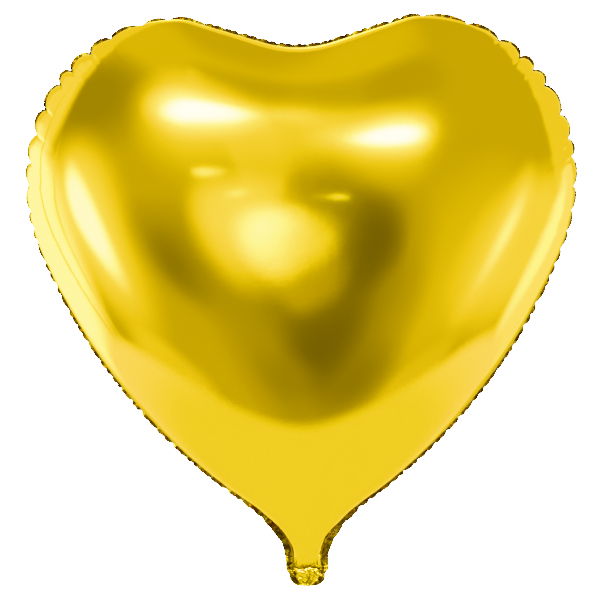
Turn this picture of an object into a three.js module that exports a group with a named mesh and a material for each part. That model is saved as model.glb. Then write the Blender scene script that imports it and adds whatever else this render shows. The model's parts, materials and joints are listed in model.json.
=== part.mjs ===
// A heart-shaped foil balloon, filled with gas: two sheets of gold film welded together round a
// scalloped edge, with a flat self-sealing valve in the neck and a short filling tail below it.
// Millimetres, +Z up, the front faces -Y. The origin is the middle of the neck, where a ribbon ties.

import * as THREE from 'three';
import { mergeVertices } from 'three/addons/utils/BufferGeometryUtils.js';

const { degToRad, lerp, smoothstep } = THREE.MathUtils;

// Films and clearances. The real films are 0.02 to 0.04 mm thick.
const FOIL = 0.6;
const VALVE_FILM = 0.4;
const GAP = 0.3;

// Right half of the heart's cut edge, from the dip between the lobes down to the neck.
// Arcs turn to the left when positive; turns are in degrees.
const DIP_HEIGHT = 337;
const HALF_OUTLINE = [
  { radius: 75, turn: 17 },     // hollow of the dip
  { run: 48.5 },                // rise to the lobe
  { radius: 38.5, turn: -17 },  // inner shoulder
  { radius: 101, turn: -73 },   // top of the lobe
  { radius: 123.5, turn: -38 }, // widest part
  { radius: 366, turn: -33.5 }, // long lower side
  { radius: 106, turn: 19 },    // flare towards the neck
  { radius: 27.5, turn: 35.5 }, // curve into the neck
];

// Gas-filled body
const HALF_DEPTH = 78;          // from the middle plane to the front of the dome
const WELD = 4;                 // weld width round the heart
const NECK_WELD = 5.5;          // weld width on the neck
const NECK_WELD_FROM = 45;      // height below which the weld widens
const NECK_PINCH_TO = 2;        // height up to which the neck keeps only its pinched depth
const NECK_FULL_FROM = 32;      // height above which the neck is blown up fully
const NECK_PINCH = 0.35;        // part of its depth that the neck keeps at the tie
const FOLD_HEIGHT = -7.5;       // crease that the tail folds about
const BODY_CLEARANCE = 1.6;     // from the crease up to the body's end
const RIM_OFFSET = 0.2;         // from the middle plane to each sheet's rim

// Puckers along the edge
const ROWS = 64;                // steps along half of the edge, two to a pucker
const COLUMNS = 8;              // steps from the edge to the middle line
const PUCKER_OUT = 0.8;         // how far a puff stands outside its notches
const PUCKER_UP = 1.6;          // how far a puff stands above its notches
const PUCKER_REACH = 14;        // how far the puckers run inwards
const PUCKERS_FROM = 20;        // height below which the film has no puckers
const PUCKERS_FULL = 60;        // height above which they have their full size
const FLANGE_WAVE = 1.6;        // how far the flange waves to the front and back
const FLANGE = 0.9;             // thickness of the two welded sheets

// Solution of the film's rise
const SWEEPS = 3000;
const RELAXATION = 1.6;
const PROFILE_STEPS = 48;

// Valve
const VALVE_HALF_WIDTH = 5.6;
const VALVE_BOTTOM = -5;
const VALVE_TOP = 88;
const VALVE_WELD = 1.1;
const TACK_HALF_WIDTH = 4.6;
const TACK_HALF_HEIGHT = 3;
const TACK = 0.35;

// Filling tail
const TAIL_HALF_WIDTH = 12.2;
const TAIL_WELD = 3.6;
const TAIL_CLEARANCE = 1;       // from the crease down to the tail's upper end
const TAIL_BOTTOM = -19.5;

const GOLD = { color: 0xd9b208, roughness: 0.14, metalness: 1 };
const DULL_GOLD = { color: 0xc49a10, roughness: 0.3, metalness: 1 };
const CLEAR_FILM = { color: 0xe6e8e4, roughness: 0.35, metalness: 0 };

const bodyEnd = FOLD_HEIGHT + BODY_CLEARANCE;
const balloon = new THREE.Group();

function add(name, geometry, look) {
  const mesh = new THREE.Mesh(geometry, new THREE.MeshStandardMaterial(look));
  mesh.name = name;
  balloon.add(mesh);
}

// ---- outline -------------------------------------------------------------------

// The cut edge as one curve in the X-Z plane, with a last straight run down the neck.
function cutEdge() {
  const path = new THREE.CurvePath();
  const at = new THREE.Vector2(0, DIP_HEIGHT);
  let heading = 0;
  for (const { radius, turn, run } of HALF_OUTLINE) {
    if (run) {
      const next = at.clone().add(new THREE.Vector2(run, 0).rotateAround(new THREE.Vector2(), heading));
      path.add(new THREE.LineCurve(at.clone(), next));
      at.copy(next);
      continue;
    }
    const side = Math.sign(turn);
    const swing = degToRad(turn);
    const centre = new THREE.Vector2(at.x - side * radius * Math.sin(heading),
      at.y + side * radius * Math.cos(heading));
    const from = heading - side * Math.PI / 2;
    path.add(new THREE.EllipseCurve(centre.x, centre.y, radius, radius, from, from + swing, side < 0));
    heading += swing;
    at.set(centre.x + side * radius * Math.sin(heading), centre.y - side * radius * Math.cos(heading));
  }
  path.add(new THREE.LineCurve(at.clone(), new THREE.Vector2(at.x, bodyEnd)));
  return path;
}

// One sample of the edge for each row: the point, the outward normal and the weld's width there.
function sampleEdge() {
  const path = cutEdge();
  const samples = [];
  for (let i = 0; i <= ROWS; i++) {
    const point = path.getPoint(i / ROWS);
    const tangent = path.getTangent(i / ROWS);
    const outward = i === 0 ? new THREE.Vector2(0, 1) : new THREE.Vector2(-tangent.y, tangent.x);
    const widen = 1 - smoothstep(point.y, 0, NECK_WELD_FROM);
    const puff = i % 2 ? PUCKER_OUT : 0;
    samples.push({ point, outward, weld: WELD + (NECK_WELD - WELD) * widen - puff * (1 - widen) });
  }
  return samples;
}

// ---- dome ----------------------------------------------------------------------

// The right half of a sheet in plan: each row runs from the weld in to the middle line.
function planGrid(edge) {
  const rims = edge.map(({ point, outward, weld }) => point.clone().addScaledVector(outward, -weld));
  rims[ROWS].y = bodyEnd;
  return rims.map((rim, i) => {
    const middle = new THREE.Vector2(0, lerp(rims[0].y, bodyEnd, i / ROWS));
    const row = [];
    for (let j = 0; j <= COLUMNS; j++) row.push(rim.clone().lerp(middle, (j / COLUMNS) ** 2));
    return row;
  });
}

const cotangent = (a, b, c) => {
  const u = a.clone().sub(c);
  const v = b.clone().sub(c);
  return u.dot(v) / Math.max(1e-6, Math.abs(u.cross(v)));
};

// How far a stretched film with even pressure behind it would rise over the plan (a Poisson
// solve on the grid's triangles, fixed along the weld), with 1 at its highest point.
function filmRise(grid) {
  const width = COLUMNS + 1;
  const points = grid.flat();
  const links = points.map(() => new Map());
  const load = points.map(() => 0);
  const link = (a, b, weight) => {
    links[a].set(b, (links[a].get(b) || 0) + weight);
    links[b].set(a, (links[b].get(a) || 0) + weight);
  };
  const triangle = (a, b, c) => {
    const [p, q, r] = [points[a], points[b], points[c]];
    const area = Math.abs(q.clone().sub(p).cross(r.clone().sub(p))) / 2;
    if (area < 1e-6) return;
    link(a, b, cotangent(p, q, r) / 2);
    link(b, c, cotangent(q, r, p) / 2);
    link(c, a, cotangent(r, p, q) / 2);
    for (const k of [a, b, c]) load[k] += area / 3;
  };
  for (let i = 0; i < ROWS; i++) {
    for (let j = 0; j < COLUMNS; j++) {
      const a = i * width + j;
      triangle(a, a + 1, a + width + 1);
      triangle(a, a + width + 1, a + width);
    }
  }
  const rise = points.map(() => 0);
  for (let sweep = 0; sweep < SWEEPS; sweep++) {
    for (let k = width; k < points.length; k++) {
      if (k % width === 0) continue;
      let sum = load[k];
      let total = 0;
      for (const [other, weight] of links[k]) {
        sum += weight * rise[other];
        total += weight;
      }
      rise[k] += RELAXATION * (sum / total - rise[k]);
    }
  }
  const top = Math.max(...rise);
  return rise.map((value) => Math.max(0, value / top));
}

// The profile that two flat round sheets take when blown up: flat on top, upright at the rim.
function domeProfile(rise) {
  const integral = (limit) => {
    let sum = 0;
    for (let k = 0; k < PROFILE_STEPS; k++) {
      const c2 = Math.cos(limit * (k + 0.5) / PROFILE_STEPS) ** 2;
      sum += c2 / Math.sqrt(1 + c2) * limit / PROFILE_STEPS;
    }
    return sum;
  };
  return integral(Math.acos(Math.sqrt(1 - rise))) / integral(Math.PI / 2);
}

const neckFill = (z) => NECK_PINCH + (1 - NECK_PINCH) * smoothstep(z, NECK_PINCH_TO, NECK_FULL_FROM);

// Height of the dome over every point of the grid, with the puckers near the weld.
function domeHeights(grid) {
  const rise = filmRise(grid);
  return grid.map((row, i) => row.map((point, j) => {
    const inwards = point.distanceTo(row[0]);
    const ripple = j && i % 2 ? PUCKER_UP * Math.exp(-inwards / PUCKER_REACH) : 0;
    const puff = ripple * smoothstep(point.y, PUCKERS_FROM, PUCKERS_FULL);
    return (HALF_DEPTH * domeProfile(rise[i * (COLUMNS + 1) + j]) + puff) * neckFill(point.y);
  }));
}

// ---- closed solids from sheets ------------------------------------------------------------

// A grid of points as a surface; neighbours that coincide are joined.
function surface(rows) {
  const width = rows[0].length;
  const index = [];
  for (let i = 0; i + 1 < rows.length; i++) {
    for (let j = 0; j + 1 < width; j++) {
      const a = i * width + j;
      index.push(a, a + width, a + width + 1, a, a + width + 1, a + 1);
    }
  }
  const geometry = new THREE.BufferGeometry().setFromPoints(rows.flat()).setIndex(index);
  const merged = mergeVertices(geometry, 1e-3);
  const kept = [];
  for (let k = 0; k < merged.index.count; k += 3) {
    const [a, b, c] = [0, 1, 2].map((n) => merged.index.getX(k + n));
    if (a !== b && b !== c && c !== a) kept.push(a, b, c);
  }
  merged.setIndex(kept);
  merged.computeVertexNormals();
  return merged;
}

// Gives a surface a thickness behind its face and closes it round its free edges.
function thicken(face, thickness) {
  const { position, normal } = face.attributes;
  const count = position.count;
  const points = [];
  for (let k = 0; k < count; k++) points.push(new THREE.Vector3().fromBufferAttribute(position, k));
  for (let k = 0; k < count; k++) {
    const inward = new THREE.Vector3().fromBufferAttribute(normal, k).multiplyScalar(-thickness);
    points.push(points[k].clone().add(inward));
  }
  const index = [];
  const open = new Map();
  for (let k = 0; k < face.index.count; k += 3) {
    const corners = [0, 1, 2].map((n) => face.index.getX(k + n));
    const [a, b, c] = corners;
    index.push(a, b, c, a + count, c + count, b + count);
    corners.forEach((from, n) => {
      const to = corners[(n + 1) % 3];
      if (!open.delete(`${to} ${from}`)) open.set(`${from} ${to}`, [from, to]);
    });
  }
  for (const [from, to] of open.values()) {
    index.push(from, from + count, to + count, from, to + count, to);
  }
  return new THREE.BufferGeometry().setFromPoints(points).setIndex(index);
}

// A flat piece in the X-Z plane, from y = low to y = high.
function plate(shape, low, high) {
  const geometry = new THREE.ExtrudeGeometry(shape, { depth: high - low, bevelEnabled: false });
  return geometry.rotateX(Math.PI / 2).translate(0, high, 0);
}

function rectangle(left, bottom, right, top) {
  return new THREE.Shape([[left, bottom], [right, bottom], [right, top], [left, top]]
    .map(([x, z]) => new THREE.Vector2(x, z)));
}

// ---- gold sheets and their weld -----------------------------------------------------------

const edge = sampleEdge();
const grid = planGrid(edge);
const heights = domeHeights(grid);

// One sheet, from the left weld over the middle line to the right weld. side is -1 at the front.
function sheetSurface(side) {
  const rows = grid.map((row, i) => {
    const depth = (j) => side * (RIM_OFFSET + heights[i][j]);
    const right = row.map((point, j) => new THREE.Vector3(point.x, depth(j), point.y));
    const left = right.map((point) => new THREE.Vector3(-point.x, point.y, point.z));
    return side < 0 ? [...left, ...right.slice(0, -1).reverse()] : [...right, ...left.slice(0, -1).reverse()];
  });
  return surface(rows);
}

// The welded band: both sides of the neck and all round the heart, in one piece. It waves.
function weldSurface() {
  const rows = edge.map(({ point, outward, weld }, i) => {
    const inner = point.clone().addScaledVector(outward, GAP - weld);
    const outer = point.clone().addScaledVector(outward, i % 2 ? PUCKER_OUT : 0);
    if (i === ROWS) inner.y = outer.y = bodyEnd;
    const wave = i % 2 ? 0 : FLANGE_WAVE * (i % 4 - 1) * smoothstep(point.y, PUCKERS_FROM, PUCKERS_FULL);
    return [
      new THREE.Vector3(inner.x, -FLANGE / 2, inner.y),
      new THREE.Vector3(outer.x, wave - FLANGE / 2, outer.y),
    ];
  });
  const mirrored = rows.slice(1).reverse()
    .map((row) => row.map((point) => new THREE.Vector3(-point.x, point.y, point.z)));
  return surface([...mirrored, ...rows]);
}

add('front_panel', thicken(sheetSurface(-1), FOIL), GOLD);
add('rear_panel', thicken(sheetSurface(1), FOIL), GOLD);
add('edge_seal', thicken(weldSurface(), FLANGE), DULL_GOLD);

// ---- valve --------------------------------------------------------------------------------

const valveFace = GAP / 2 + VALVE_FILM;
const tackFace = valveFace + GAP + TACK;
const valveShape = rectangle(-VALVE_HALF_WIDTH, VALVE_BOTTOM, VALVE_HALF_WIDTH, VALVE_TOP);
const tackShape = rectangle(-TACK_HALF_WIDTH, -TACK_HALF_HEIGHT, TACK_HALF_WIDTH, TACK_HALF_HEIGHT);
const valveWeldIn = VALVE_HALF_WIDTH + GAP;
const valveWeldOut = valveWeldIn + VALVE_WELD;

add('valve_front_film', plate(valveShape, -valveFace, -GAP / 2), CLEAR_FILM);
add('valve_rear_film', plate(valveShape, GAP / 2, valveFace), CLEAR_FILM);
add('valve_seal_left', plate(rectangle(-valveWeldOut, VALVE_BOTTOM, -valveWeldIn, VALVE_TOP),
  -valveFace, valveFace), CLEAR_FILM);
add('valve_seal_right', plate(rectangle(valveWeldIn, VALVE_BOTTOM, valveWeldOut, VALVE_TOP),
  -valveFace, valveFace), CLEAR_FILM);
add('neck_seal_front', plate(tackShape, -tackFace, -tackFace + TACK), CLEAR_FILM);
add('neck_seal_rear', plate(tackShape, tackFace - TACK, tackFace), CLEAR_FILM);

// ---- filling tail -------------------------------------------------------------------------

const tailTop = FOLD_HEIGHT - TAIL_CLEARANCE;
const tailFace = GAP / 2 + FOIL;
const tailFilm = TAIL_HALF_WIDTH - TAIL_WELD - GAP;

// The weld down one side of the tail, rounded at its outer lower corner.
function tailWeldShape(side) {
  const inner = side * (TAIL_HALF_WIDTH - TAIL_WELD);
  const outer = side * TAIL_HALF_WIDTH;
  const cornerHeight = TAIL_BOTTOM + TAIL_WELD;
  const shape = new THREE.Shape();
  shape.moveTo(inner, tailTop);
  shape.lineTo(outer, tailTop);
  shape.lineTo(outer, cornerHeight);
  const sideways = side > 0 ? 0 : Math.PI;
  shape.absarc(inner, cornerHeight, TAIL_WELD, sideways, sideways - side * Math.PI / 2, side > 0);
  return shape;
}

const tailShape = rectangle(-tailFilm, TAIL_BOTTOM, tailFilm, tailTop);
add('tail_front', plate(tailShape, -tailFace, -GAP / 2), GOLD);
add('tail_rear', plate(tailShape, GAP / 2, tailFace), GOLD);
add('tail_seal_left', plate(tailWeldShape(-1), -tailFace, tailFace), DULL_GOLD);
add('tail_seal_right', plate(tailWeldShape(1), -tailFace, tailFace), DULL_GOLD);

export default balloon;
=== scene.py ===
# Heart-shaped foil balloon: two sheets of metallised gold film, welded round a scalloped edge,
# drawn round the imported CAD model.
import json
import math

import bmesh
import bpy
import numpy as np
from mathutils import Matrix, Vector


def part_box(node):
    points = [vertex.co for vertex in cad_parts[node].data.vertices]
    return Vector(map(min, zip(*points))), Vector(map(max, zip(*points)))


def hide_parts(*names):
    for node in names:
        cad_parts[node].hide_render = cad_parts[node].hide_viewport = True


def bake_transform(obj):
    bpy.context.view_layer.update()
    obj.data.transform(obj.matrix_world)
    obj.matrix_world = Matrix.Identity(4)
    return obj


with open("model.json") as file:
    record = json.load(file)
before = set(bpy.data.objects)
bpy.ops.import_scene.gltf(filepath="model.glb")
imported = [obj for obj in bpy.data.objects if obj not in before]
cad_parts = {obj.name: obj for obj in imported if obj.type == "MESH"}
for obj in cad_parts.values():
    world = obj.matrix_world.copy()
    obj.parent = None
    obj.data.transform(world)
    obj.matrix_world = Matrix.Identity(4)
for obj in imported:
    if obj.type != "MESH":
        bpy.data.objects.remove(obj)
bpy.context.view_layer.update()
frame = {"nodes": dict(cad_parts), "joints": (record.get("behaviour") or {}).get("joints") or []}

MM = 0.001
SEED = 7

# ---- driving dimensions in mm ----------------------------------------------------------------

# Right half of the cut edge, from the dip between the lobes down to the neck: an arc is
# (radius, turn in degrees, to the left when positive), a straight run is (None, length).
DIP_HEIGHT = 337
HALF_OUTLINE = [
    (75, 17),        # hollow of the dip
    (None, 48.5),    # rise to the lobe
    (38.5, -17),     # inner shoulder
    (101, -73),      # top of the lobe
    (123.5, -38),    # widest part
    (366, -33.5),    # long lower side
    (106, 19),       # flare towards the neck
    (27.5, 35.5),    # curve into the neck
]
HALF_DEPTH = 78          # from the middle plane to the front of the dome
WELD = 4                 # weld width round the heart
NECK_WELD = 5.5          # weld width on the neck
NECK_WELD_FROM = 45      # height below which the weld widens
NECK_FULL_FROM = 32      # height above which the neck is blown up fully
NECK_PINCH = 0.14        # part of its depth that the neck keeps at the tie
NECK_EASE = 0.9          # how soon the neck swells above the tie, less is sooner
FILM = 0.11              # thickness of a drawn sheet
WELDED = 0.26            # over the two sheets where they lie together

# The crease under the neck and the filling tail below it
CREASE_KEEPS = 0.1       # part of the neck's depth that is left on the crease
CREASE_WIDTH = 2         # how far it reaches up and down
CREASE_WAVES = [(0.5, 0.55, 0.6), (0.3, 1.3, 0.0)]   # height, radians per mm, phase
TAIL_PUFF = 0.5          # part of the neck's depth that comes back just below the crease,
TAIL_FLAT_FROM = 6       # and is gone this far below it
TAIL_DEPTH = 0.7         # over the open tail
TAIL_OPEN_FROM = 3       # below the crease
TAIL_WIDENS = 4          # height over which the neck's width turns into the tail's
TAIL_CORNER = 8          # radius at the tail's free end

# How the edge puckers, at places along the right half of the edge, in mm: distance from the
# dip, spacing of the creases, how far the film stands out over the weld, how deep the creases
# are drawn in, how far up the film they run, how far the weld leans to the front and back
PLACE, SPACING, STAND, DEPTH, RUN, LEAN = range(6)     # columns of the table
PUCKERS = [
    (0, 4.5, 0.9, 0.3, 5, 2.0),
    (60, 7, 1.2, 0.5, 5, 2.4),
    (85, 24, 1.5, 1.8, 7, 2.4),
    (115, 19, 1.5, 2.6, 14, 2.6),
    (150, 17, 1.6, 3.0, 30, 2.8),
    (200, 17, 2.0, 2.7, 30, 3.0),
    (250, 15, 2.8, 1.5, 20, 3.2),
    (300, 12, 2.4, 0.7, 9, 3.2),
    (335, 9, 1.6, 0.3, 5, 2.8),
    (380, 6, 1.6, 0.2, 4, 3.0),
    (500, 6, 1.4, 0.2, 4, 2.8),
    (535, 10, 0.5, 0.3, 4, 2.6),
    (560, 12, 0.1, 0.2, 3, 1.6),
]
SPACING_VARIES = (0.65, 1.35)    # random factors, here for the spacing of the creases
PUFF_VARIES = (0.75, 1.15)       # how far a puff stands out
LEAN_VARIES = (0.45, 1)          # how far the weld leans
FOLD = 1.1               # extra depth right on a crease
FOLD_WIDTH = 1.1
FOLD_RUN = (0.4, 1.2)    # parts of a crease's run between which its fold fades out
SHARP_DEPTH = 1.5        # creases this deep are folded fully
UNEVEN_DEPTH = 3         # puffs between creases this deep differ fully in size
NOTCH_POWER = 0.5        # the arch between two creases has sharp ends to this power,
ROUND_POWER = 1.8        # and round ends to this one
LEAN_POWER = 1.2         # the weld leans more towards its cut edge
LEAST_WIDTH = 0.3        # part of its width that the leaning weld keeps, seen from the front

# Fine unevenness of the film
CRINKLE = 0.28           # of the weld's cut edge
CRINKLES = 5             # waves that make it up
CRINKLE_RATES = (1.1, 2.4)    # radians per mm
CRINKLE_SIZES = (0.3, 0.6)    # parts of CRINKLE
DENT = 0.05              # shallow unevenness of the blown-up film
PLEAT = 0.25             # at the tie, over the tail's crease
PLEAT_RATE = 2.1         # radians per mm
PLEAT_SWAY_RATE = 0.4
PLEATS_END = 9           # over the crease
CRUMPLE = 0.38           # of the tail
CRUMPLE_FROM = 0.5       # below the crease
CRUMPLE_FULL = 3
GATHER_SHADE_BANDS = [(0.3, 0.7, 1.0), (2.6, 1.8, 0.6)]   # painted shade over the gathered folds: height over the crease, width, strength

# The film changes on its way up the dome, at or between these heights over the middle plane
STAND_RISES = (0, 5)     # the film comes to stand out over the weld
STAND_FADES = (9, 46)    # and goes over into the plain dome
PUFFS_ROUND = (0, 20)    # the sharp notches between puffs turn round
DENTS_RISE = (12, 45)    # the shallow unevenness sets in
CREASE_FADES_FROM = 2    # creases begin to run out

VALVE_NODES = ["valve_front_film", "valve_rear_film", "valve_seal_left", "valve_seal_right",
               "neck_seal_front", "neck_seal_rear"]

ROW_STEP = 0.95          # spacing of the mesh's rows along the edge
TAIL_STEP = 0.5          # and along the tail
WELD_STEPS = 6           # points of a row on the weld
DOME_STEPS = 50          # and from there to the middle line
ANY_PHASE = 6.3          # radians, a full turn

crease_height = frame["joints"][0]["pos_m"][2] / MM
tail_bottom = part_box("tail_seal_left")[0][2] / MM
tail_half_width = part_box("tail_seal_right")[1][0] / MM


def smoothstep(x, low, high):
    t = np.clip((x - low) / (high - low), 0, 1)
    return t * t * (3 - 2 * t)


# ---- plan of a sheet -------------------------------------------------------------------------

def stretch_length(radius, turn):
    """Length of one stretch of the outline; a straight one holds it in place of a turn."""
    return abs(math.radians(turn)) * radius if radius else turn


def outline_point(s):
    """Point and outward normal at a distance along the right half of the cut edge, which runs
    straight down past its last stretch."""
    at, heading = np.array([0.0, DIP_HEIGHT]), 0.0
    for radius, turn in HALF_OUTLINE:
        part = min(s, stretch_length(radius, turn))
        if radius is None:
            at = at + part * np.array([math.cos(heading), math.sin(heading)])
        else:
            side = math.copysign(1, turn)
            centre = at + side * radius * np.array([-math.sin(heading), math.cos(heading)])
            heading += side * part / radius
            at = centre + side * radius * np.array([math.sin(heading), -math.cos(heading)])
        s -= part
        if s <= 0:
            break
    at = at + np.array([0.0, -max(s, 0)])
    return at, np.array([-math.sin(heading), math.cos(heading)])


def edge_rows():
    """The right half of the cut edge, row by row: distance from the dip, point, outward normal."""
    curved = sum(stretch_length(*stretch) for stretch in HALF_OUTLINE)
    neck_x, neck_top = outline_point(curved)[0]
    length = curved + neck_top - crease_height
    places = list(np.linspace(0, length, round(length / ROW_STEP) + 1))
    rows = [(s, *outline_point(s)) for s in places]
    tail_steps = round((crease_height - tail_bottom) / TAIL_STEP)
    for z in np.linspace(crease_height, tail_bottom, tail_steps + 1)[1:]:
        x = neck_x + (tail_half_width - neck_x) * smoothstep(crease_height - z, 0, TAIL_WIDENS)
        below = max(0.0, tail_bottom + TAIL_CORNER - z)
        x -= TAIL_CORNER - math.sqrt(TAIL_CORNER ** 2 - below ** 2)
        rows.append((length + crease_height - z, np.array([x, z]), np.array([1.0, 0.0])))
    s, points, normals = (np.array(column) for column in zip(*rows))
    return s, points, normals, len(places)


def plan():
    """Plan of the right half of a sheet. Its rows start at the cut edge, cross the weld and go on
    over the film to the middle line, curved so that they meet it squarely. band and out are the
    weld's points and their distances from its inner side; dome is the film's points."""
    s, edge, outward, body_rows = edge_rows()
    weld = WELD + (NECK_WELD - WELD) * (1 - smoothstep(edge[:, 1], 0, NECK_WELD_FROM))
    rim = edge - outward * weld[:, None]
    middle = np.zeros_like(edge)
    middle[:, 1] = np.interp(s, [0, s[body_rows - 1]], [rim[0, 1], crease_height])
    middle[body_rows:, 1] = edge[body_rows:, 1]
    rim[body_rows:, 1] = edge[body_rows:, 1]
    inwards = np.linspace(0, 1, DOME_STEPS + 1) ** 2
    curved = np.stack([inwards, 1 - (1 - inwards) ** 2], -1)
    dome = rim[:, None] + (middle - rim)[:, None] * curved
    out = weld[:, None] * np.linspace(1, 0, WELD_STEPS, endpoint=False)
    band = rim[:, None] + outward[:, None] * out[..., None]
    return {"s": s, "weld": weld, "outward": outward, "dome": dome, "band": band, "out": out,
            "inwards": inwards, "body_rows": body_rows}


# ---- how the film rises ----------------------------------------------------------------------

FLAT_AREA = 1e-7         # mm2, triangles under this are left out
SMALLEST = 1e-9
MOST_STEPS = 6000        # of the solver
SOLVED = 1e-16           # part of the first error at which the solution is good enough


def film_rise(points):
    """Rise of a stretched film with even pressure behind it, over a grid of rows fixed along
    its first column, by a Poisson solve on the grid's triangles. 1 is the highest point."""
    def cot(a, b, c):
        """Half the cotangent of the angle at c, and the triangle's area."""
        u, v = a - c, b - c
        area = np.abs(u[..., 0] * v[..., 1] - u[..., 1] * v[..., 0])
        weight = np.where(area > FLAT_AREA, (u * v).sum(-1) / np.maximum(area, FLAT_AREA), 0) / 2
        return weight, area / 2

    a, b, c, d = points[:-1, :-1], points[:-1, 1:], points[1:, 1:], points[1:, :-1]
    across, down = np.zeros(points[:, 1:].shape[:2]), np.zeros(points[1:].shape[:2])
    load = np.zeros(points.shape[:2])
    ab, upper = cot(a, b, c)
    bc, _ = cot(b, c, a)
    ca, _ = cot(c, a, b)
    cd, lower = cot(c, d, a)
    da, _ = cot(d, a, c)
    ac, _ = cot(a, c, d)
    across[:-1] += ab
    across[1:] += cd
    down[:, 1:] += bc
    down[:, :-1] += da
    slant = ca + ac
    for area, corners in ((upper, ((0, 0), (0, 1), (1, 1))), (lower, ((0, 0), (1, 1), (1, 0)))):
        for i, j in corners:
            load[i:load.shape[0] - 1 + i, j:load.shape[1] - 1 + j] += area / 3

    free = np.ones(load.shape)
    free[:, 0] = free[0] = 0
    links = ((across, np.s_[:, :-1], np.s_[:, 1:]), (down, np.s_[:-1], np.s_[1:]),
             (slant, np.s_[:-1, :-1], np.s_[1:, 1:]))

    def pull(u):
        out = np.zeros_like(u)
        for weight, near, far in links:
            flow = weight * (u[far] - u[near])
            out[far] += flow
            out[near] -= flow
        return out * free

    # Conjugate gradients, each point scaled by how firmly it is held.
    stiffness = np.zeros_like(load)
    for weight, near, far in links:
        stiffness[near] += weight
        stiffness[far] += weight
    scale = free / np.maximum(stiffness, SMALLEST)
    rise, rest = np.zeros_like(load), load * free
    step = scale * rest
    size = (rest * step).sum()
    first = size
    for _ in range(MOST_STEPS):
        pulled = pull(step)
        share = size / (step * pulled).sum()
        rise += share * step
        rest -= share * pulled
        eased = scale * rest
        new = (rest * eased).sum()
        if new < SOLVED * first:
            break
        step = eased + new / size * step
        size = new
    return np.clip(rise / rise.max(), 0, 1)


PROFILE_STEPS = 400


def dome_profile(rise):
    """The profile that flat round sheets take when blown up: flat on top, upright at the rim."""
    angle = np.linspace(0, math.pi / 2, PROFILE_STEPS)
    slope = np.cos(angle) ** 2 / np.sqrt(1 + np.cos(angle) ** 2)
    height = np.concatenate([[0], np.cumsum((slope[1:] + slope[:-1]) / 2)])
    return np.interp(np.arccos(np.sqrt(1 - rise)), angle, height / height[-1])


# ---- puckers ---------------------------------------------------------------------------------

def along(s, column):
    """A column of PUCKERS at signed distances from the dip."""
    table = np.array(PUCKERS, float)
    return np.interp(np.abs(s), table[:, PLACE], table[:, column])


def crease_places(reach, seed):
    """Where the film is drawn in along the whole edge, as signed distances from the dip."""
    rng = np.random.default_rng(seed)
    places = [-reach]
    while places[-1] < reach:
        places.append(places[-1] + along(places[-1], SPACING) * rng.uniform(*SPACING_VARIES))
    return np.array(places), rng


class Puckers:
    """Creases and puffs along the edge; s is the signed distance from the dip."""

    def __init__(self, reach, seed):
        self.places, rng = crease_places(reach, seed)
        count = len(self.places)
        self.size = rng.uniform(*PUFF_VARIES, count)
        self.lean = rng.uniform(*LEAN_VARIES, count) * (-1) ** np.arange(count)
        self.fine = [(rng.uniform(*CRINKLE_RATES), rng.uniform(0, ANY_PHASE),
                      rng.uniform(*CRINKLE_SIZES)) for _ in range(CRINKLES)]

    def at(self, s):
        """Which puff a place is on, and how far along it, from 0 to 1."""
        k = np.clip(np.searchsorted(self.places, s, side="right") - 1, 0, len(self.places) - 2)
        part = (s - self.places[k]) / (self.places[k + 1] - self.places[k])
        return k, np.clip(part, 0, 1)

    def crease(self, s, height):
        """1 right on a crease and 0 between creases; the creases run out over the film."""
        k, part = self.at(s)
        distance = np.minimum(part, 1 - part) * (self.places[k + 1] - self.places[k])
        sharpness = np.minimum(along(s, DEPTH) / SHARP_DEPTH, 1)
        on_crease = np.exp(-(distance / FOLD_WIDTH) ** 2) * sharpness
        run = along(s, RUN)
        return on_crease * (1 - smoothstep(height, FOLD_RUN[0] * run, FOLD_RUN[1] * run))

    def out(self, s, height):
        """How far the film stands out at a height over the middle plane."""
        k, part = self.at(s)
        depth = along(s, DEPTH)
        arch = np.sin(math.pi * part)
        roundness = smoothstep(height, *PUFFS_ROUND)
        puff = arch ** (NOTCH_POWER + (ROUND_POWER - NOTCH_POWER) * roundness)
        own_size = smoothstep(arch, 0.3, 1) * np.minimum(depth / UNEVEN_DEPTH, 1)
        stand = along(s, STAND) * (1 + (self.size[k] - 1) * own_size)
        stand *= smoothstep(height, *STAND_RISES)
        stand *= 1 - smoothstep(height, *STAND_FADES)
        drawn = depth * (1 - puff) * (1 - smoothstep(height, CREASE_FADES_FROM, along(s, RUN)))
        return stand - drawn - FOLD * self.crease(s, height)

    def wave(self, s):
        """How far the flange's cut edge stands to the front or back."""
        k, part = self.at(s)
        ease = smoothstep(part, 0, 1)
        lean = self.lean[k] * (1 - ease) + self.lean[k + 1] * ease
        fine = sum(size * np.sin(rate * s + phase) for rate, phase, size in self.fine)
        return lean * along(s, LEAN) + fine * CRINKLE


class Ripples:
    """Uneven waves over the film: a sum of waves in random directions, round or sharply folded."""

    def __init__(self, seed, count, shortest, longest, folded):
        rng = np.random.default_rng(seed)
        self.folded = folded
        self.waves = []
        for _ in range(count):
            rate, heading = 2 * math.pi / rng.uniform(shortest, longest), rng.uniform(0, math.pi)
            phase = rng.uniform(0, ANY_PHASE)
            self.waves.append((rate * math.cos(heading), rate * math.sin(heading), phase))

    def at(self, x, z):
        total = 0
        for across, up, phase in self.waves:
            wave = np.sin(across * x + up * z + phase)
            total = total + (1 - 2 * np.abs(wave) if self.folded else wave)
        return total / math.sqrt(len(self.waves))


# ---- the sheets ------------------------------------------------------------------------------

SAME_POINT = 1e-7        # m, points this close are joined
SHARP_ANGLE = 50         # degrees, edges over this are drawn sharp


def surface_normals(points):
    """Normals over a grid of points. The first row has no width, at the dip, so it takes the
    next row's."""
    down = np.gradient(points, axis=0)
    across = np.gradient(points, axis=1)
    normal = np.cross(down, across)
    size = np.linalg.norm(normal, axis=-1, keepdims=True)
    normal = normal / np.maximum(size, SMALLEST)
    normal[0] = normal[1]
    return normal


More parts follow.
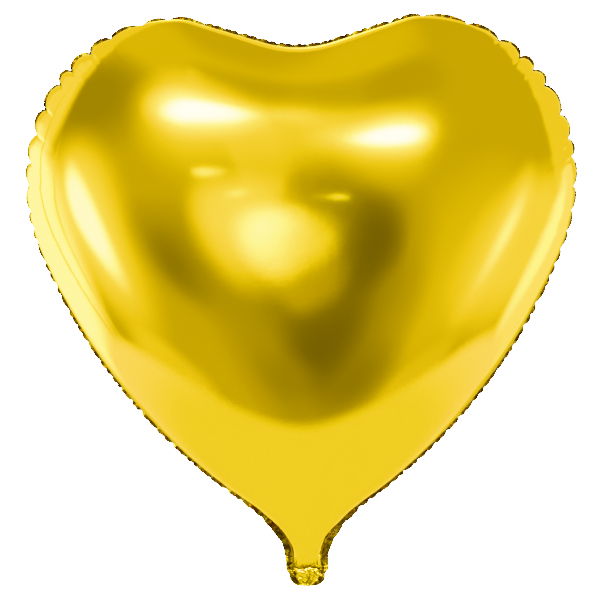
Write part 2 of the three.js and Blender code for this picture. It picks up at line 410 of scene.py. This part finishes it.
def tie_line(x):
    """Height of the wavy crease between the neck and the tail."""
    return crease_height + sum(size * np.sin(rate * x + phase) for size, rate, phase in CREASE_WAVES)


def crumple(crumples, x, z):
    """How far the crumpled tail stands to the front or back."""
    return CRUMPLE * crumples.at(x, z) * smoothstep(crease_height - z, CRUMPLE_FROM, CRUMPLE_FULL)


def whole_rows(left, right):
    """Rows from the left rim to the right one, out of two halves that each run from their rim
    to the middle line."""
    return np.concatenate([left, right[:, ::-1][:, 1:]], axis=1)


def plain_height(p, above, off_weld):
    """How far the film stands from the middle plane before it puckers. above is each point's
    height over the wavy crease; off_weld is 0 at the rim and soon 1 inside it."""
    body = p["body_rows"]
    rise = np.zeros(p["dome"].shape[:2])
    rise[:body] = dome_profile(film_rise(p["dome"][:body]))
    rise[body:] = rise[body - 1]
    height = HALF_DEPTH * whole_rows(rise, rise)
    over = whole_rows(p["dome"][..., 1], p["dome"][..., 1]) - crease_height
    up_neck = np.clip(over / (NECK_FULL_FROM - crease_height), 0, 1)
    height *= NECK_PINCH + (1 - NECK_PINCH) * np.sin(math.pi / 2 * up_neck) ** NECK_EASE
    height *= (CREASE_KEEPS + (1 - CREASE_KEEPS) * smoothstep(above, 0, CREASE_WIDTH)
               + TAIL_PUFF * smoothstep(-above, 0, CREASE_WIDTH))
    height *= 1 - smoothstep(-above, CREASE_WIDTH, TAIL_FLAT_FROM)
    return height + (TAIL_DEPTH - WELDED) / 2 * smoothstep(-over, 0, TAIL_OPEN_FROM) * off_weld


def outward_normals(points, outward, side):
    """Normals of the blown-up film; at the rim and in the first row they lie in the middle
    plane."""
    normals = surface_normals(points)
    normals *= np.where(normals[..., 1:2] * side < 0, -1, 1)
    level = np.insert(outward, 1, 0, axis=1)
    normals[:, -1] = level
    normals[:, 0] = level * [-1, 1, 1]
    normals[0] = level[0]
    return normals


def sheet_grid(p, side, puckers, dents, crumples):
    """Points of a sheet, row by row from the left rim to the right one, in mm, and their
    distances along the edge; side is -1 at the front."""
    flat = whole_rows(p["dome"] * [-1, 1], p["dome"])
    x, z = flat[..., 0], flat[..., 1]
    above = z - tie_line(x)
    off_weld = 1 - (1 - whole_rows(p["inwards"][None], p["inwards"][None])) ** 8
    height = plain_height(p, above, off_weld)
    points = np.stack([x, side * (WELDED / 2 + height), z], -1)

    s = np.repeat(p["s"][:, None], DOME_STEPS + 1, 1)
    s = whole_rows(-s, s)
    stand = puckers.out(s, height) + DENT * dents.at(x, z) * smoothstep(height, *DENTS_RISE)
    near_tie = smoothstep(above, 0, 1) * (1 - smoothstep(above, 1, PLEATS_END)) * off_weld
    stand += PLEAT * near_tie * np.sin(PLEAT_RATE * x + np.sin(PLEAT_SWAY_RATE * z))
    points = points + outward_normals(points, p["outward"], side) * stand[..., None]
    points[..., 1] += crumple(crumples, x, z)
    return points, s


def band_grid(p, side, puckers, crumples):
    """Points of the weld beside the left and the right rim. It leans to and fro and is
    scalloped."""
    halves = []
    for hand in (-1, 1):
        s = hand * p["s"][:, None]
        share = p["out"] / p["weld"][:, None]
        wave = puckers.wave(s) * share ** LEAN_POWER
        least = LEAST_WIDTH * p["out"]
        lost = p["out"] - np.sqrt(np.maximum(p["out"] ** 2 - wave ** 2, least ** 2))
        moved = puckers.out(s, np.zeros_like(s)) - lost
        flat = p["band"] + p["outward"][:, None] * moved[..., None]
        x, z = hand * flat[..., 0], flat[..., 1]
        half = np.stack([x, wave + crumple(crumples, x, z) + side * WELDED / 2, z], -1)
        halves.append(half if hand < 0 else half[:, ::-1])
    return halves


def gathered_fold_shade(points):
    """Painted shade just over the tail's crease, where the film is gathered in folds: how dark it is
    painted.
    """
    above = points[..., 2] - tie_line(points[..., 0])
    return sum(strength * np.exp(-((above - height) / width) ** 2)
               for height, width, strength in GATHER_SHADE_BANDS)


def sheet_surface(side, seed):
    """The outer surface of a whole sheet with its weld: a grid of points, and three values at
    each point: how far it lies out on the weld (1 at the cut edge, 0 on the film), its place
    along the edge in metres, and how much painted shade it takes in its creases and gathered folds."""
    p = plan()
    puckers = Puckers(p["s"][-1], seed)
    dents = Ripples(seed + side, count=9, shortest=38, longest=90, folded=False)
    crumples = Ripples(seed, count=5, shortest=7, longest=15, folded=True)
    dome, s = sheet_grid(p, side, puckers, dents, crumples)
    left, right = band_grid(p, side, puckers, crumples)
    points = np.concatenate([left, dome, right], axis=1)
    share = p["out"] / p["weld"][:, None]
    weld = np.concatenate([share, np.zeros(dome.shape[:2]), share[:, ::-1]], axis=1)
    band_place = np.repeat(p["s"][:, None], WELD_STEPS, 1)
    place = np.concatenate([-band_place, s, band_place], axis=1)
    # painted shade: how dark the film is painted along its creases and over the tail's gathered
    # folds
    fold_shade = puckers.crease(place, np.abs(points[..., 1]))
    fold_shade = np.maximum(fold_shade, gathered_fold_shade(points) * (weld == 0))
    return points, {"weld_share": weld, "edge_place": place * MM, "fold_shade": fold_shade}


def closed_faces(rows, columns, side):
    """Quads of a sheet: its outer surface, its inner surface and the strip round their edge. The
    two surfaces are grids of points, one after the other; the first row needs no strip."""
    count = rows * columns
    index = np.arange(count).reshape(rows, columns)
    corners = [index[:-1, :-1], index[1:, :-1], index[1:, 1:], index[:-1, 1:]]
    quads = np.stack(corners, -1).reshape(-1, 4)
    border = [(index[i, 0], index[i + 1, 0]) for i in range(rows - 1)]
    border += [(index[-1, j], index[-1, j + 1]) for j in range(columns - 1)]
    border += [(index[i + 1, -1], index[i, -1]) for i in reversed(range(rows - 1))]
    rim = np.array([(b, a, a + count, b + count) for a, b in border])
    if side > 0:
        quads, rim = quads[:, ::-1], rim[:, ::-1]
    return np.concatenate([quads, quads[:, ::-1] + count, rim])


def make_sheet(name, side, seed):
    """A sheet as a thin closed solid; side is -1 at the front."""
    points, marks = sheet_surface(side, seed)
    rows, columns = points.shape[:2]
    normals = surface_normals(points)
    normals *= side if normals[rows // 3, columns // 2, 1] > 0 else -side      # outwards
    normals[0] = (0, side, 0)
    inner = points - normals * FILM
    vertices = np.concatenate([points.reshape(-1, 3), inner.reshape(-1, 3)]) * MM

    mesh = bpy.data.meshes.new(name)
    mesh.from_pydata(vertices.tolist(), [], closed_faces(rows, columns, side).tolist())
    for attribute, values in marks.items():
        layer = mesh.attributes.new(attribute, "FLOAT", "POINT")
        layer.data.foreach_set("value", np.tile(values.ravel(), 2).astype(np.float32))
    work = bmesh.new()
    work.from_mesh(mesh)
    bmesh.ops.remove_doubles(work, verts=work.verts, dist=SAME_POINT)
    work.to_mesh(mesh)
    work.free()
    mesh.validate()
    mesh.shade_smooth()
    mesh.set_sharp_from_angle(angle=math.radians(SHARP_ANGLE))
    sheet = bpy.data.objects.new(name, mesh)
    bpy.context.scene.collection.objects.link(sheet)
    return sheet


front = make_sheet("front_foil", -1, SEED)
rear = make_sheet("rear_foil", 1, SEED)

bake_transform(front)
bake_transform(rear)
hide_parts("front_panel", "tail_front", "edge_seal", "tail_seal_left", "tail_seal_right")
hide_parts("rear_panel", "tail_rear", "edge_seal", "tail_seal_left", "tail_seal_right")


# ---- materials -------------------------------------------------------------------------------

def feed(socket, value):
    """Link an output to an input socket, or set the socket's own value."""
    if isinstance(value, bpy.types.NodeSocket):
        socket.id_data.links.new(value, socket)
    else:
        socket.default_value = value


def nodes_of(tree):
    """A short way to add nodes to a tree: join(kind, *inputs) adds one, feeds its inputs in
    order and returns it."""
    def join(kind, *inputs, **settings):
        node = tree.nodes.new(kind)
        for name, value in settings.items():
            setattr(node, name, value)
        for socket, value in zip(node.inputs, inputs):
            feed(socket, value)
        return node
    return join


def calc(join, operation, *inputs):
    return join("ShaderNodeMath", *inputs, operation=operation).outputs[0]


def calc_vector(join, operation, *inputs):
    """The result of a vector calculation, which is a length where LENGTH is asked for."""
    node = join("ShaderNodeVectorMath", *inputs, operation=operation)
    return node.outputs["Value" if operation == "LENGTH" else "Vector"]


def remap(join, value, low, high, new_low, new_high, kind="LINEAR"):
    node = join("ShaderNodeMapRange", value, low, high, new_low, new_high, interpolation_type=kind)
    return node.outputs["Result"]


def mix(join, share, a, b):
    """A number between two others."""
    node = join("ShaderNodeMix", data_type="FLOAT")
    for name, value in (("Factor", share), ("A", a), ("B", b)):
        feed(node.inputs[name], value)
    return node.outputs["Result"]


def mix_colour(join, share, a, b):
    factor, colour_a, colour_b, result = 0, 6, 7, 2      # sockets of a mix node set to colours
    node = join("ShaderNodeMix", data_type="RGBA")
    for index, value in ((factor, share), (colour_a, a), (colour_b, b)):
        feed(node.inputs[index], value)
    return node.outputs[result]


def noise(join, place, scale, detail, roughness=0.5, distortion=0.0):
    node = join("ShaderNodeTexNoise")
    for name, value in (("Vector", place), ("Scale", scale), ("Detail", detail),
                        ("Roughness", roughness), ("Distortion", distortion)):
        feed(node.inputs[name], value)
    return node.outputs["Fac"]


def bump(join, height, distance, strength, normal=None):
    node = join("ShaderNodeBump")
    node.inputs["Distance"].default_value = distance
    node.inputs["Strength"].default_value = strength
    feed(node.inputs["Height"], height)
    if normal:
        feed(node.inputs["Normal"], normal)
    return node.outputs["Normal"]


def mark(join, name):
    """A value that the mesh holds at each point."""
    return join("ShaderNodeAttribute", attribute_name=name).outputs["Fac"]


def object_place(join):
    return join("ShaderNodeTexCoord").outputs["Object"]


def new_material(name):
    material = bpy.data.materials.new(name)
    material.use_nodes = True
    tree = material.node_tree
    return material, nodes_of(tree), tree.nodes["Principled BSDF"].inputs


FILM_TONES = (0.88, 0.575, 0.002, 1), (0.84, 0.545, 0.002, 1)
GRAZING_TINT = (1, 0.86, 0.03, 1)
WELD_REFLECTION_TONES = (0.085, 0.040, 0.003, 1), (0.60, 0.37, 0.012, 1)     # painted dark reflection for its ground, painted glints for its specks
# painted shade in the film's creases and gathered folds
CREASE_SHADE_TONE = (0.10, 0.055, 0.002, 1)
CLEAR_TONES = (0.92, 0.93, 0.94, 1), (0.80, 0.83, 0.86, 1)
CRIMP_SPACING = 0.0009   # m, of the fine ridges pressed across the weld


def gold_colour(join, place, crumbs, weld):
    """Even gold on the film, with painted shade in its creases and gathered folds; the weld is
    painted near-black brown as a dark reflection, with painted glints that are fewer on some
    stretches than on others."""
    film = mix_colour(join, noise(join, place, scale=18, detail=3), *FILM_TONES)
    # painted shade: the film is darkened along its creases and gathered folds
    broken = calc(join, "MULTIPLY", mark(join, "fold_shade"), remap(join, crumbs, 0.35, 0.6, 0.7, 1.1))
    film = mix_colour(join, remap(join, broken, 0.35, 0.9, 0.0, 0.9), film, CREASE_SHADE_TONE)
    # painted glints: bright specks on the dark weld, fewer on some stretches than on others
    stretches = remap(join, noise(join, place, scale=38, detail=1), 0.38, 0.60, 0.35, 1.15)
    painted_glints = calc(join, "MULTIPLY", remap(join, crumbs, 0.46, 0.66, 0.0, 1.0), stretches)
    return mix_colour(join, weld, film, mix_colour(join, painted_glints, *WELD_REFLECTION_TONES))


def gold_relief(join, place, crumbs, weld):
    """The film is very slightly wavy; fine broken ridges are pressed across the weld."""
    wavy = bump(join, noise(join, place, scale=45, detail=3), distance=0.0003, strength=0.10)
    turns = calc(join, "MULTIPLY", mark(join, "edge_place"), 2 * math.pi / CRIMP_SPACING)
    broken = calc(join, "MULTIPLY", calc(join, "SINE", turns), crumbs)
    crimp = calc(join, "MULTIPLY", broken, weld)
    return bump(join, crimp, distance=0.00012, strength=0.6, normal=wavy)


def gold_foil():
    """Lacquered metallised film, with a rougher weld painted dark as a dark reflection and given
    painted glints.
    """
    material, join, shader = new_material("gold_foil")
    place = object_place(join)
    crumbs = noise(join, place, scale=280, detail=3, roughness=0.6, distortion=0.4)
    weld = remap(join, mark(join, "weld_share"), 0.03, 0.14, 0.0, 1.0)
    feed(shader["Base Color"], gold_colour(join, place, crumbs, weld))
    shader["Metallic"].default_value = 1
    shader["Specular Tint"].default_value = GRAZING_TINT
    grain = noise(join, place, scale=30, detail=5)
    film_roughness = remap(join, grain, 0.3, 0.7, 0.06, 0.10)
    weld_roughness = remap(join, crumbs, 0.3, 0.7, 0.22, 0.38)
    feed(shader["Roughness"], mix(join, weld, film_roughness, weld_roughness))
    shader["Coat Weight"].default_value = 0.07
    shader["Coat Roughness"].default_value = 0.08
    shader["Coat IOR"].default_value = 1.5
    feed(shader["Normal"], gold_relief(join, place, crumbs, weld))
    return material


def valve_film():
    """Clear soft film of the filling valve, slightly milky with flow lines along it."""
    material, join, shader = new_material("valve_film")
    place = object_place(join)
    cloud = noise(join, place, scale=160, detail=4)
    feed(shader["Base Color"], mix_colour(join, cloud, *CLEAR_TONES))
    feed(shader["Roughness"], remap(join, cloud, 0.3, 0.7, 0.18, 0.34))
    shader["Transmission Weight"].default_value = 0.7
    shader["IOR"].default_value = 1.5
    stretched = join("ShaderNodeMapping", place)
    stretched.inputs["Scale"].default_value = (1, 1, 0.1)
    lines = noise(join, stretched.outputs["Vector"], scale=900, detail=2)
    feed(shader["Normal"], bump(join, lines, distance=0.0001, strength=0.5))
    return material


film = gold_foil()
for sheet in (front, rear):
    sheet.data.materials.append(film)
clear = valve_film()
for name in VALVE_NODES:
    mesh = frame["nodes"][name].data
    mesh.materials.clear()
    mesh.materials.append(clear)


# ---- camera ----------------------------------------------------------------------------------

CAMERA_LENS = 120
SENSOR = 36
PICTURE_WIDTH = 394      # mm of the object's middle plane across the picture
CAMERA_PLACE = (-2, 168.5)   # mm, to the right and up
CAMERA_ROLL = 0.9        # degrees


def make_camera():
    data = bpy.data.cameras.new("camera")
    data.lens = CAMERA_LENS
    data.sensor_width = SENSOR
    camera = bpy.data.objects.new("camera", data)
    bpy.context.scene.collection.objects.link(camera)
    distance = PICTURE_WIDTH * MM * CAMERA_LENS / SENSOR
    place = Vector((CAMERA_PLACE[0] * MM, -distance, CAMERA_PLACE[1] * MM))
    level = Matrix.Rotation(math.radians(90), 4, "X")
    roll = Matrix.Rotation(-math.radians(CAMERA_ROLL), 4, "Z")
    camera.matrix_world = Matrix.Translation(place) @ level @ roll
    bpy.context.scene.camera = camera


# ---- studio ----------------------------------------------------------------------------------

ROOM = 0.68              # brightness of the plain walls
BACKDROP = 30            # brightness that the camera sees behind the object
WHITE = (1, 1, 1, 1)
COOL_LIGHT = (0.78, 1.06, 0.82, 1)   # colour of the bright panels
COOL_FROM, COOL_FULL = 0.6, 5.0      # brightnesses between which a panel takes it on
LEAST_AHEAD = 0.0005     # directions beside a patch or behind it count as this far ahead

# The floor's sizes and places, in m
FLOOR_HEIGHT = -2.2
FLOOR_RADIUS = 4.4
FLOOR_CENTRE = 1.5       # behind the object
FLOOR_FADE_FROM = 0.85   # part of the radius where it begins to fade into the room
FLOOR_COLOUR = (0.85, 0.79, 0.82, 1)
FLOOR_GLOW = 0.9         # how much brighter it is under the backdrop
GLOW_FROM, GLOW_FULL = 2.1, 3.9      # to the sides of the object
GLOW_BACK = 0.6          # a distance to the back counts for this part of one to the side

# Panels, lamps and dark patches of the room round the object, each painted over those before
# it: azimuth (0 is behind the camera, 90 to its right), elevation, half width, half height and
# tilt in degrees, softness of the edge, brightness
STUDIO = [
    (-80, 78, 66, 16, 0, 0.5, 0.84),      # left half of the ceiling
    (-72, 40, 27, 19, 0, 0.7, 0.42),      # dark wall on the left
    (180, 2, 83, 39.5, 0, 0.1, 1.25),     # pale backdrop behind
    (178, -4, 34, 22, 0, 0.9, 0.72),      # darker middle of the backdrop
    (-168, 24, 11, 5, -12, 0.8, 14),      # softboxes behind
    (157, 17, 6, 9, 25, 0.9, 7),
    (-130, 30, 38, 27, 0, 0.12, 1.12),    # wall behind on the left
    (-116, 27, 21, 20, 0, 0.12, 1.6),
    (127, 16, 34, 30, 0, 0.1, 1.15),      # wall behind on the right
    (45, -10, 25, 22, 0, 0.6, 0.88),      # pale wall on the right
    (4, -20, 20, 28, 0, 0.5, 0.49),       # dark front of the room
    (-62, -37, 17, 8, 0, 0.35, 1.0),      # low white boards by the floor
    (50, -37, 13, 7, 0, 0.35, 0.92),
    (-25, -4, 14, 8, 0, 0.8, 0.46),       # darker patches in it
    (5, -10, 8, 20, 12, 0.8, 0.34),
    (14, -28, 13, 8, -28, 0.8, 0.34),
    (9, 1, 4.5, 6, 0, 0.9, 0.20),
    (4, -16, 6, 9, 0, 0.9, 0.21),
    (-25, -6, 6, 4.5, 0, 0.9, 0.33),
    (-5, -26, 6, 6, 0, 0.9, 0.4),
    (-117, -6, 36, 24, 0, 0.3, 7),        # bright wall behind on the left
    (-66, -3, 20, 20, 20, 0.9, 2.4),      # large soft panel on the left
    (-66, -3, 8.5, 15, 33, 0.45, 14),
    (-104, 0, 1.2, 40, 4, 0.5, 1.0),      # posts of its stand
    (-90, -8, 1.0, 24, -8, 0.5, 1.5),
    (80, -12, 37, 17, 0, 0.5, 1.5),       # weaker panels on the right
    (64, -8, 8, 14, -30, 0.9, 1.9),
    (62, -9, 4, 8.5, -33, 0.9, 4.6),
    (121, -13, 25, 20, 0, 0.12, 2.5),
    (107, -13, 8, 14, -10, 0.5, 5),
    (-4, 45, 15, 14, 0, 0.6, 1.02),       # pale wall between the softboxes
    (-6, 38, 5, 34, 5, 0.12, 1.05),       # light strip of wall
    (-16, 41, 13, 19, 0, 0.9, 1.7),       # left softbox
    (-17, 41, 8.5, 9, 20, 0.9, 7),
    (-15.5, 40.5, 7, 5, 26, 0.6, 70),
    (-0.6, 26, 0.5, 15, 3, 0.6, 0.8),     # joint in the wall
    (15, 57, 10, 19, 0, 0.6, 0.6),        # wall beside it
    (11, 28.5, 9, 12.5, 0, 0.9, 1.6),     # right softbox
    (13, 28, 6.5, 6.5, 0, 0.9, 7),
    (13, 27.2, 5, 3.5, 5, 0.7, 80),
    (0.5, -3.2, 2.8, 3.4, 0, 0.9, 0.64),  # glow under it
    (-8.2, 5, 7.3, 8, 0, 0.65, 1.8),      # lamp by the camera
    (-3, 2.5, 3.3, 2.6, 0, 0.95, 8.5),
    (-12.5, 15.3, 2.3, 1.2, 4, 0.4, 4),   # small fittings
    (3.2, 7.6, 1.1, 0.38, 0, 0.4, 3.4),
    (-7.2, 9, 1.6, 0.55, 0, 0.4, 4.5),
]


def patch_mask(join, direction, azimuth, elevation, half_width, half_height, tilt, softness):
    """1 inside a soft-edged oval patch seen in the given direction, 0 outside it."""
    a, e = math.radians(azimuth), math.radians(elevation)
    centre = Vector((math.sin(a) * math.cos(e), -math.cos(a) * math.cos(e), math.sin(e)))
    level = Vector((math.cos(a), math.sin(a), 0))
    axes = Matrix((level, centre.cross(level), centre)).transposed()
    turned = axes @ Matrix.Rotation(math.radians(tilt), 3, "Z")
    size = (math.tan(math.radians(half_width)), math.tan(math.radians(half_height)), 1)
    mapping = join("ShaderNodeMapping", direction, vector_type="TEXTURE")
    mapping.inputs["Rotation"].default_value = turned.to_euler()
    mapping.inputs["Scale"].default_value = size
    local = mapping.outputs["Vector"]
    ahead = join("ShaderNodeSeparateXYZ", local).outputs["Z"]
    aside = calc_vector(join, "LENGTH", calc_vector(join, "MULTIPLY", local, (1, 1, 0)))
    radius = calc(join, "DIVIDE", aside, calc(join, "MAXIMUM", ahead, LEAST_AHEAD))
    return remap(join, radius, 1 + softness, 1 - softness, 0.0, 1.0, kind="SMOOTHSTEP")


def make_world():
    """The room lights the object; the camera itself sees a plain white backdrop. Patches are
    mixed by the logarithm of their brightness."""
    world = bpy.data.worlds.new("studio")
    world.use_nodes = True
    join = nodes_of(world.node_tree)
    direction = join("ShaderNodeTexCoord").outputs["Generated"]
    power = math.log(ROOM)
    for *patch, brightness in STUDIO:
        power = mix(join, patch_mask(join, direction, *patch), power, math.log(brightness))
    light = calc(join, "EXPONENT", power)
    cool = remap(join, light, COOL_FROM, COOL_FULL, 0.0, 1.0)
    colour = mix_colour(join, cool, WHITE, COOL_LIGHT)
    seen = join("ShaderNodeLightPath").outputs["Is Camera Ray"]
    background = world.node_tree.nodes["Background"].inputs
    feed(background["Color"], mix_colour(join, seen, colour, WHITE))
    feed(background["Strength"], mix(join, seen, light, BACKDROP))
    bpy.context.scene.world = world


def floor_material():
    """Pale, glowing far from the object, and fading out at the floor's rim."""
    material, join, shader = new_material("pale_floor")
    place = object_place(join)
    from_object = calc_vector(join, "ADD", place, (0, FLOOR_CENTRE, 0))
    away = calc_vector(join, "LENGTH", calc_vector(join, "MULTIPLY", from_object, (1, GLOW_BACK, 0)))
    glow = remap(join, away, GLOW_FROM, GLOW_FULL, 0.0, FLOOR_GLOW, kind="SMOOTHSTEP")
    radius = calc_vector(join, "LENGTH", place)
    fade_from = FLOOR_FADE_FROM * FLOOR_RADIUS
    shader["Base Color"].default_value = FLOOR_COLOUR
    shader["Roughness"].default_value = 0.9
    shader["Emission Color"].default_value = WHITE
    feed(shader["Emission Strength"], glow)
    feed(shader["Alpha"], remap(join, radius, FLOOR_RADIUS, fade_from, 0.0, 1.0, kind="SMOOTHSTEP"))
    return material


def make_floor():
    mesh = bpy.data.meshes.new("floor")
    work = bmesh.new()
    bmesh.ops.create_circle(work, cap_ends=True, segments=96, radius=FLOOR_RADIUS)
    work.to_mesh(mesh)
    work.free()
    mesh.materials.append(floor_material())
    floor = bpy.data.objects.new("floor", mesh)
    floor.location = (0, FLOOR_CENTRE, FLOOR_HEIGHT)
    bpy.context.scene.collection.objects.link(floor)


make_camera()
make_world()
make_floor()
bpy.context.scene.view_settings.view_transform = "Khronos PBR Neutral"
